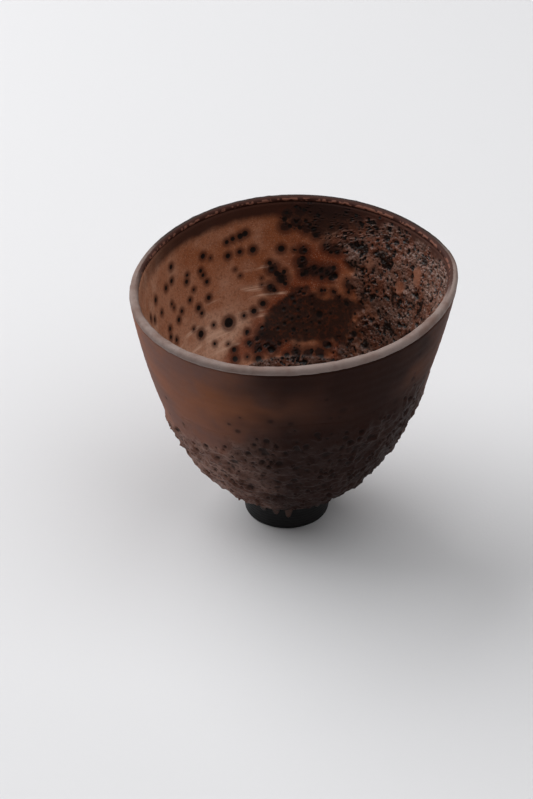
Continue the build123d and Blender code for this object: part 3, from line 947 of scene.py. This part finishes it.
def makeFoot():
    k, f = turnedFoot, form
    curl, quarter = k["rounding"], np.linspace(0, np.pi / 2, 6)
    angle = np.linspace(-180, 180, k["columns"], endpoint=False)
    outline = [(f["footBore"], f["footHeight"]), (f["footBore"], curl)]
    for turn in quarter[1:]:
        outline.append((f["footBore"] + curl * (1 - np.cos(turn)), curl * (1 - np.sin(turn))))
    for radius in np.linspace(f["footBore"] + 1.2, f["footBase"] - 1.2, 4):
        outline.append((radius, 0.0))
    for turn in quarter:
        outline.append((f["footBase"] - curl * (1 - np.sin(turn)), curl * (1 - np.cos(turn))))
    for height in np.linspace(1.0, f["footHeight"], 40):
        lean = (f["undersideRadius"] - f["footBase"]) * height / f["footHeight"]
        line = k["groove"] * (0.5 + 0.5 * np.sin(height * 2 * np.pi / k["pitch"]))
        outline.append((f["footBase"] + lean - line * (height < f["footHeight"] - 0.5), height))
    rings = []
    outward = np.stack([np.cos(np.radians(angle)), np.sin(np.radians(angle)), 0 * angle], -1)
    for radius, height in outline:
        ring = np.array([f["footX"], f["footY"], height]) + radius * outward
        worn = k["wear"] * np.clip(0.5 + cloudy(ring, 3.0, 231, 2), 0, 1)
        rings.append(ring - outward * worn[:, None])
    foot = ringSkin("turnedFootRing", rings, {}, True)
    settle(foot, "foot_ring", burntFoot("ironBlackFoot"))


makeFoot()

# Bead of thin glaze over the foot, with its drips
glazeBead = {"columns": 768, "thickness": 0.9, "sunk": -0.6, "above": 0.6, "length": 3.0, "dripRadius": 1.0,
             "angles": (-88, -104, -121, -47, 38, 150), "shares": (1.0, 0.6, 0.45, 0.4, 0.5, 0.6)}


def makeBead():
    k, f = glazeBead, form
    angle = np.linspace(-180, 180, k["columns"], endpoint=False)
    ripple = 0.35 * np.abs(np.sin(np.radians(angle * 9 + 30))) + 0.2 * np.sin(np.radians(angle * 23))
    hang = 0.25 + 0.25 * ripple
    for drip, share in zip(k["angles"], k["shares"]):
        away = np.abs((angle - drip + 180) % 360 - 180) * np.pi / 180 * f["undersideRadius"]
        rounded = np.sqrt(np.clip(1 - (away / (k["dripRadius"] * 1.25)) ** 2, 0, 1))
        hang = np.maximum(hang, (k["length"] * share + k["dripRadius"]) * rounded)
    top, hem, rings = f["crustHem"] + k["above"], f["footHeight"], []

    def ringAt(step, lift):
        # on the wall, and below its hem on the foot
        height = top + (hem - hang - top) * step
        wall = np.interp(np.maximum(height, hem), outsideCurve["height"], outsideCurve["radius"])
        foot = f["footBase"] + (f["undersideRadius"] - f["footBase"]) * np.minimum(height, hem) / hem
        rings.append(place(np.where(height >= hem, wall, foot) + lift, height, angle))

    for step in np.linspace(0, 1, 26):  # down the front
        ringAt(step, k["thickness"] * smooth((1 - step) * 7) ** 0.5 * smooth(step * 3 + 0.25))
    for step in np.linspace(1, 0, 8):  # and up behind it
        ringAt(step, k["sunk"])
    bead = ringSkin("glazeBeadAndDrips", rings, {}, True)
    settle(bead, "glaze_bead", beadGlaze("thinRunGlaze"))


makeBead()

# Floor, lamps and camera
studio = {"floor": tone(218, 218, 220), "floorSize": 6.0, "fillStrength": 0.12,
          "lampsAimAt": (0, 0, 0.05),
          "lamps": {"windowLight": {"place": (-0.95, 0.6, 0.98), "size": 1.7, "power": 29.0},
                    "skyLight": {"place": (0.45, -0.16, 1.22), "size": 1.4, "power": 10.5}}}


def makeStudio():
    s = studio
    half = s["floorSize"] / 2
    mesh = bpy.data.meshes.new("paleFloor")
    corners = [(-half, -half, 0), (half, -half, 0), (half, half, 0), (-half, half, 0)]
    mesh.from_pydata(corners, [], [(0, 1, 2, 3)])
    floor = bpy.data.objects.new("paleFloor", mesh)
    bpy.context.scene.collection.objects.link(floor)
    f = Finish("paleSill")
    grain = f.noise(1.2, 3.0)
    floor.data.materials.append(f.done(s["floor"], 0.7, f.bump(grain, 0.15, 0.3), Specular_IOR_Level=0.3))

    for name, row in s["lamps"].items():
        light = bpy.data.lights.new(name, "AREA")
        light.shape, light.size, light.energy = "SQUARE", row["size"], row["power"]
        lamp = bpy.data.objects.new(name, light)
        bpy.context.scene.collection.objects.link(lamp)
        lamp.location = row["place"]
        gaze = Vector(s["lampsAimAt"]) - Vector(row["place"])
        lamp.rotation_euler = gaze.to_track_quat("-Z", "Y").to_euler()

    world = bpy.data.worlds.new("softRoom")
    bpy.context.scene.world = world
    world.use_nodes = True
    tree = world.node_tree
    back = tree.nodes["Background"]
    back.inputs["Color"].default_value = (1.0, 1.0, 1.0, 1.0)
    path = tree.nodes.new("ShaderNodeLightPath")
    mix = tree.nodes.new("ShaderNodeMix")
    mix.inputs[2].default_value, mix.inputs[3].default_value = s["fillStrength"], 1.0
    tree.links.new(path.outputs["Is Camera Ray"], mix.inputs[0])
    tree.links.new(mix.outputs[0], back.inputs["Strength"])


def makeCamera():
    lens = bpy.data.cameras.new("photoView")
    lens.sensor_width, lens.sensor_fit = view["sensor"], "AUTO"
    lens.lens = view["focal"] / view["tall"] * view["sensor"]
    lens.clip_start, lens.clip_end = 0.05, 50
    camera = bpy.data.objects.new("photoView", lens)
    bpy.context.scene.collection.objects.link(camera)
    camera.location = [c * mm for c in view["place"]]
    camera.rotation_euler = (radians(90 - view["pitch"]), 0, 0)
    bpy.context.scene.camera = camera


makeStudio()
makeCamera()
bpy.context.scene.view_settings.view_transform = "Standard"
print("floor, lamps and camera done")
